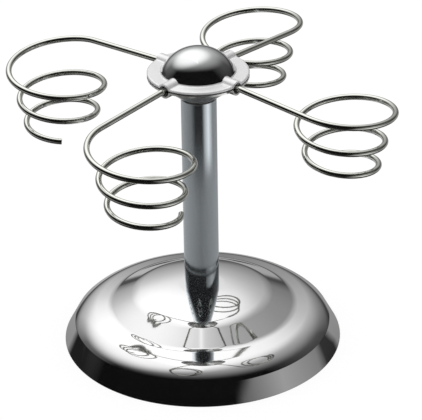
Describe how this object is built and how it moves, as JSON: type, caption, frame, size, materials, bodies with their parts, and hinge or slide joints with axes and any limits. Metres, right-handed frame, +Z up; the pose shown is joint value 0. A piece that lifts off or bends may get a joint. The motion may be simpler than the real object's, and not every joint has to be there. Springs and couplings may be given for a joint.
{
  "type": "mug tree",
  "caption": "Polished steel table stand: a weighted round foot and a column carry a turning head, whose wire arms end in open tapering spirals that each hold one cone, cup or egg.",
  "frame": {"origin": "centre of the foot on the table, under the column", "axes": "+Z up along the column; the arms point out between the X and Y axes, at 45 degrees to them"},
  "size_m": [0.2028, 0.2028, 0.1731],
  "materials": {
    "polished_steel": "mirror polished stainless steel sheet and tube",
    "wire_steel": "polished stainless steel wire",
    "plain_steel": "turned or pressed steel, not polished",
    "zinc_steel": "bright zinc plated",
    "cast_iron": "black dipped casting",
    "foot_rubber": "matt foam rubber",
    "nylon": "natural nylon"
  },
  "bodies": {
    "stand": {"foot_shell": "polished_steel", "foot_weight": "cast_iron", "foot_cover": "plain_steel", "foot_pad": "foot_rubber", "foot_washer": "zinc_steel", "foot_spring_washer": "zinc_steel", "foot_nut": "zinc_steel", "column_tube": "polished_steel", "column_foot_plug": "plain_steel", "column_bearing_plug": "plain_steel", "tie_rod": "zinc_steel", "thrust_washer": "nylon", "retaining_washer": "zinc_steel", "lock_nut": "zinc_steel"},
    "head": {"head_cap": "polished_steel", "head_cone": "polished_steel", "head_core": "plain_steel", "arm_back_right": "wire_steel", "arm_back_left": "wire_steel", "arm_front_left": "wire_steel", "arm_front_right": "wire_steel"}
  },
  "joints": [
    {"name": "head_turn", "type": "hinge", "parent": "stand", "child": "head", "pos_m": [0, 0, 0.1511], "axis": [0, 0, 1], "continuous": true}
  ]
}
